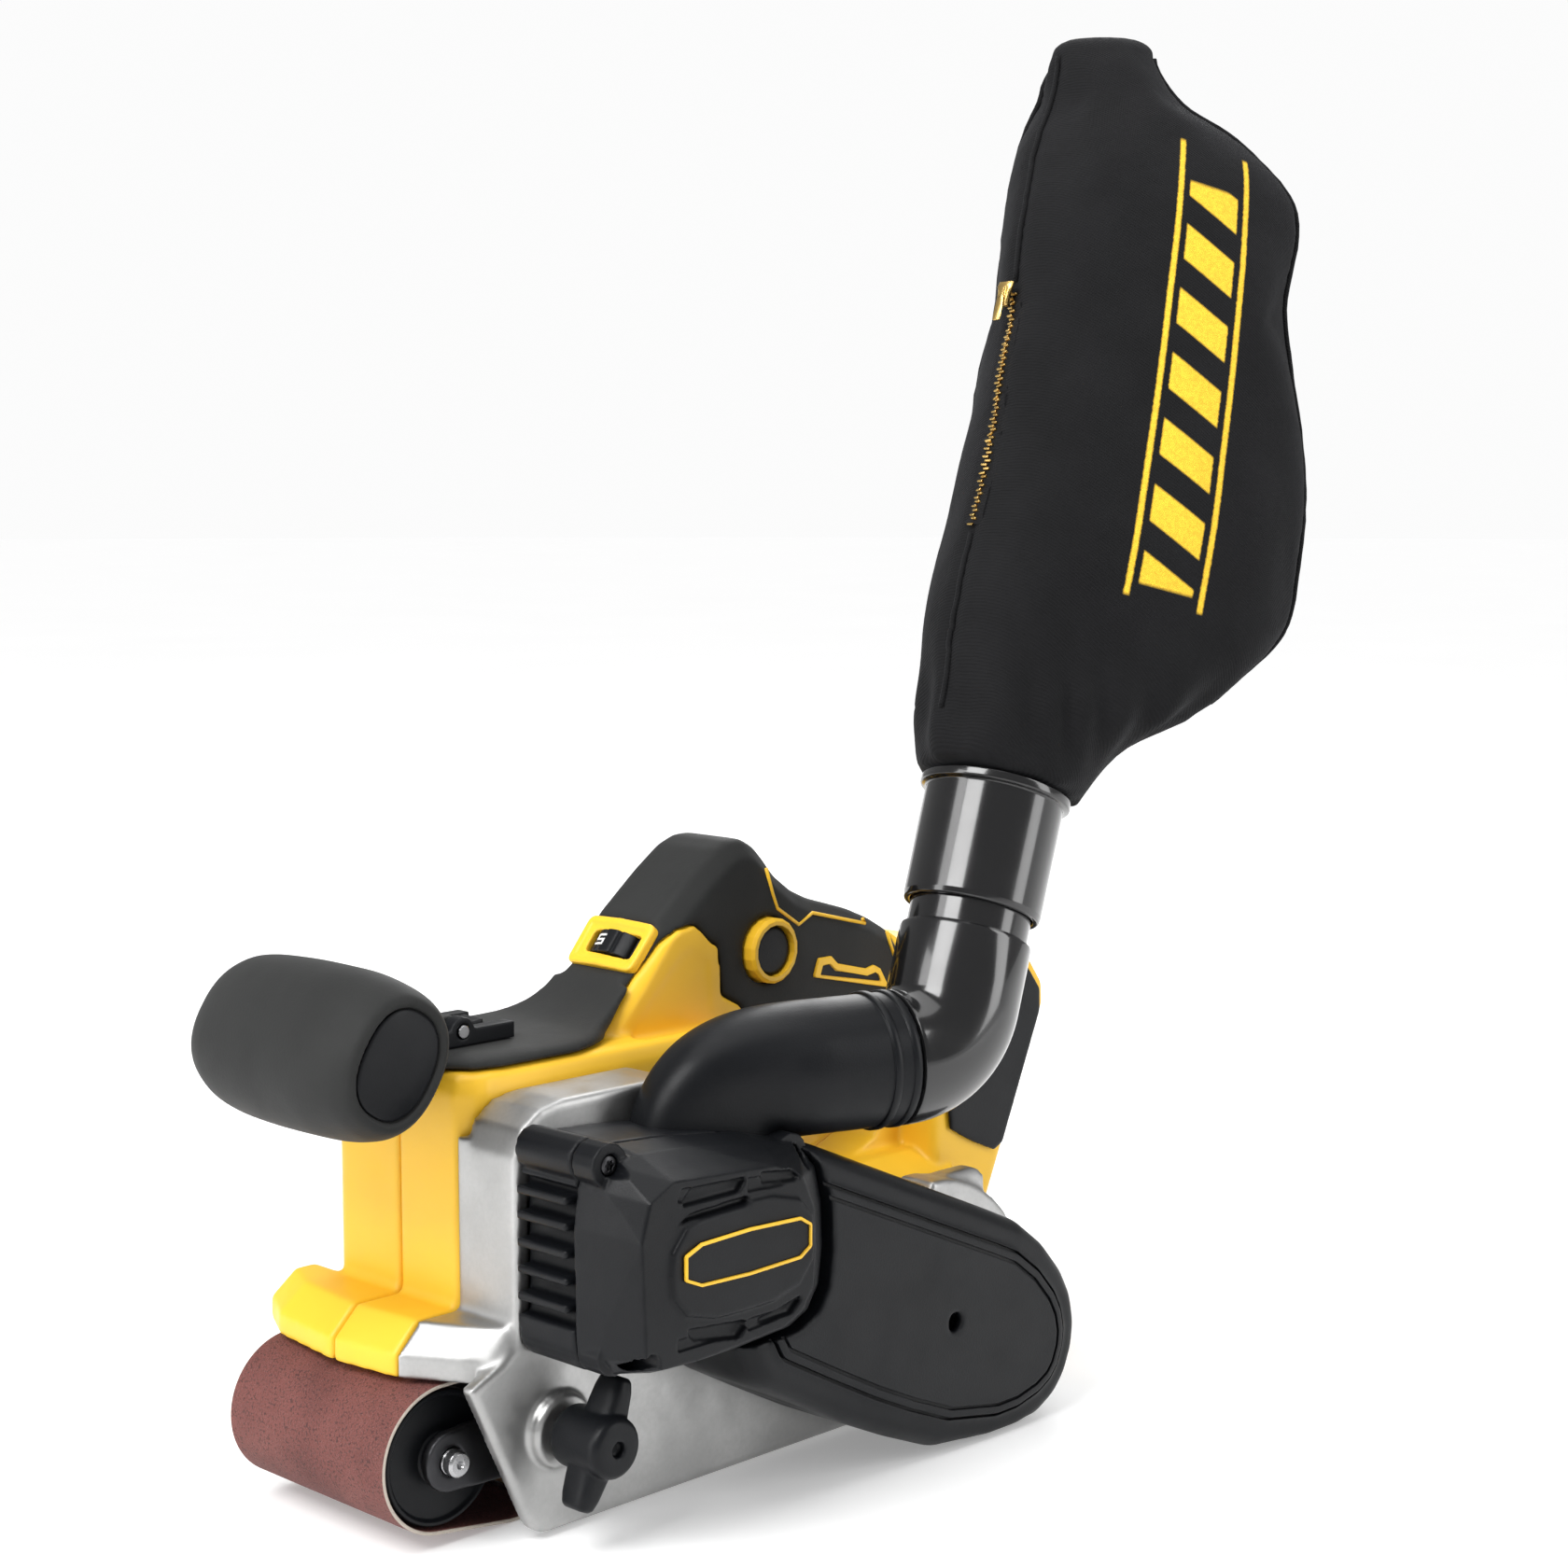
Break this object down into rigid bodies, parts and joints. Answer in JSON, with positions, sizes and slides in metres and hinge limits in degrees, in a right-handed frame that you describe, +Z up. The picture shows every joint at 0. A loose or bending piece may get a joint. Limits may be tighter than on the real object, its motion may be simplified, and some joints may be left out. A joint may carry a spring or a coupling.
{
  "type": "handheld belt sander",
  "caption": "Cordless handheld belt sander with a D handle, front knob, side motor, belt drive cover, tracking knob and a swivelling dust bag.",
  "frame": {"origin": "on the sanding plane under the belt, midway between the two rollers and across the belt's width", "axes": "+X towards the rear handle and battery foot, +Y towards the tool's right side away from the motor, +Z up from the sanding plane"},
  "size_m": [0.354, 0.1964, 0.4545],
  "materials": {
    "yellow_housing": "satin moulded nylon",
    "soft_grip": "matte overmoulded elastomer",
    "black_plastic": "fine moulded texture",
    "gloss_black_plastic": "polished moulding",
    "cast_aluminium": "satin die casting",
    "steel": "turned",
    "dark_steel": "blackened",
    "copper": "enamelled winding",
    "brass": "zip teeth",
    "abrasive": "aluminium oxide grit on cloth",
    "cork": "pressed cork",
    "bag_cloth": "black twill",
    "circuit_board": "potted",
    "belt_rubber": "matte"
  },
  "bodies": {
    "frame": {"sanding_belt": "abrasive", "platen": "steel", "platen_pad": "cork", "main_frame": "cast_aluminium", "housing_right": "yellow_housing", "housing_left": "yellow_housing", "handle_overmould": "soft_grip", "dial_bezel": "yellow_housing", "button_ring": "yellow_housing", "switch_module": "black_plastic", "controller_board": "circuit_board", "handle_badge": "yellow_housing", "foot_panel_left": "soft_grip", "foot_panel_right": "soft_grip", "battery_rail": "black_plastic", "motor_housing": "black_plastic", "motor_cap": "black_plastic", "cap_badge": "yellow_housing", "cap_screw_front_top": "dark_steel", "cap_screw_front_low": "dark_steel", "cap_screw_rear_top": "dark_steel", "cap_screw_rear_low": "dark_steel", "motor_stator": "copper", "drive_cover": "black_plastic", "cover_screw": "dark_steel", "drive_belt": "belt_rubber", "rear_bearing": "steel", "tension_spring": "steel", "lever_pivot": "steel", "knob_bracket": "black_plastic", "knob_pivot_pin": "steel", "housing_screw_1": "dark_steel", "housing_screw_2": "dark_steel", "housing_screw_3": "dark_steel", "dust_spout": "black_plastic"},
    "rear_roller": {"rear_roller": "belt_rubber", "rear_axle": "steel", "rear_pulley": "dark_steel"},
    "motor": {"motor_rotor": "steel", "motor_pulley": "dark_steel", "motor_fan": "black_plastic"},
    "tension_slider": {"tension_slider": "dark_steel"},
    "tracking_fork": {"tracking_fork": "dark_steel", "front_axle": "steel"},
    "front_roller": {"front_roller": "black_plastic"},
    "tension_lever": {"tension_lever": "yellow_housing"},
    "tracking_knob": {"tracking_knob": "black_plastic", "tracking_screw": "steel"},
    "trigger": {"trigger": "black_plastic"},
    "lock_button": {"lock_button": "black_plastic"},
    "speed_dial": {"speed_dial": "black_plastic"},
    "front_knob": {"front_knob": "soft_grip", "knob_cap_left": "black_plastic", "knob_cap_right": "black_plastic"},
    "knob_latch": {"knob_latch": "black_plastic"},
    "dust_elbow": {"dust_elbow": "gloss_black_plastic"},
    "dust_bag": {"bag_collar": "gloss_black_plastic", "dust_bag": "bag_cloth", "zip_tape": "brass"},
    "zip_slider": {"zip_slider": "brass"}
  },
  "joints": [
    {"name": "rear_roller_spin", "type": "hinge", "parent": "frame", "child": "rear_roller", "pos_m": [0.099, 0, 0.0263], "axis": [0, 1, 0], "continuous": true},
    {"name": "motor_spin", "type": "hinge", "parent": "frame", "child": "motor", "pos_m": [-0.038, -0.07, 0.092], "axis": [0, 1, 0], "continuous": true},
    {"name": "tension_slide", "type": "slide", "parent": "frame", "child": "tension_slider", "axis": [1, 0, 0], "range_m": [0, 0.0045]},
    {"name": "tracking_tilt", "type": "hinge", "parent": "tension_slider", "child": "tracking_fork", "pos_m": [-0.053, 0, 0.026], "axis": [0, 0, 1], "range_deg": [-1, 1]},
    {"name": "front_roller_spin", "type": "hinge", "parent": "tracking_fork", "child": "front_roller", "pos_m": [-0.099, 0, 0.0263], "axis": [0, 1, 0], "continuous": true},
    {"name": "lever_turn", "type": "hinge", "parent": "frame", "child": "tension_lever", "pos_m": [-0.05, 0.0342, 0.026], "axis": [0, 0, 1], "range_deg": [0, 75.1]},
    {"name": "tracking_knob_turn", "type": "hinge", "parent": "frame", "child": "tracking_knob", "pos_m": [-0.0698, -0.07, 0.0324], "axis": [0, 1, 0], "range_deg": [-60.5, 60.5]},
    {"name": "trigger_squeeze", "type": "slide", "parent": "frame", "child": "trigger", "axis": [0, 0, 1], "range_m": [0, 0.005]},
    {"name": "lock_push", "type": "slide", "parent": "frame", "child": "lock_button", "axis": [0, 1, 0], "range_m": [0, 0.003]},
    {"name": "dial_turn", "type": "hinge", "parent": "frame", "child": "speed_dial", "pos_m": [0.01095, 0, 0.15589], "axis": [0.6353, 0, 0.7723], "range_deg": [-150, 40]},
    {"name": "front_handle_tilt", "type": "hinge", "parent": "frame", "child": "front_knob", "pos_m": [-0.07, 0, 0.146], "axis": [0, 1, 0], "range_deg": [0, 55]},
    {"name": "latch_slide", "type": "slide", "parent": "frame", "child": "knob_latch", "axis": [1, 0, 0], "range_m": [0, 0.003]},
    {"name": "elbow_swivel", "type": "hinge", "parent": "frame", "child": "dust_elbow", "pos_m": [0.0427, -0.0857, 0.1317], "axis": [0.9511, -0.309, 0], "range_deg": [-10, 60]},
    {"name": "bag_swivel", "type": "hinge", "parent": "dust_elbow", "child": "dust_bag", "pos_m": [0.0602, -0.09139, 0.1317], "axis": [0.3983, 0.0871, 0.9131], "range_deg": [-60, 60]},
    {"name": "zip_slide", "type": "slide", "parent": "dust_bag", "child": "zip_slider", "axis": [0.33, 0.0673, 0.9416], "range_m": [-0.06, 0]}
  ],
  "couplings": [
    {"joint": "motor_spin", "follows": "rear_roller_spin", "ratio": 2.3125},
    {"joint": "front_roller_spin", "follows": "rear_roller_spin", "ratio": 1},
    {"joint": "lever_turn", "follows": "tension_slide", "rad_per_m": 290.9},
    {"joint": "tracking_knob_turn", "follows": "tracking_tilt", "ratio": 60}
  ]
}
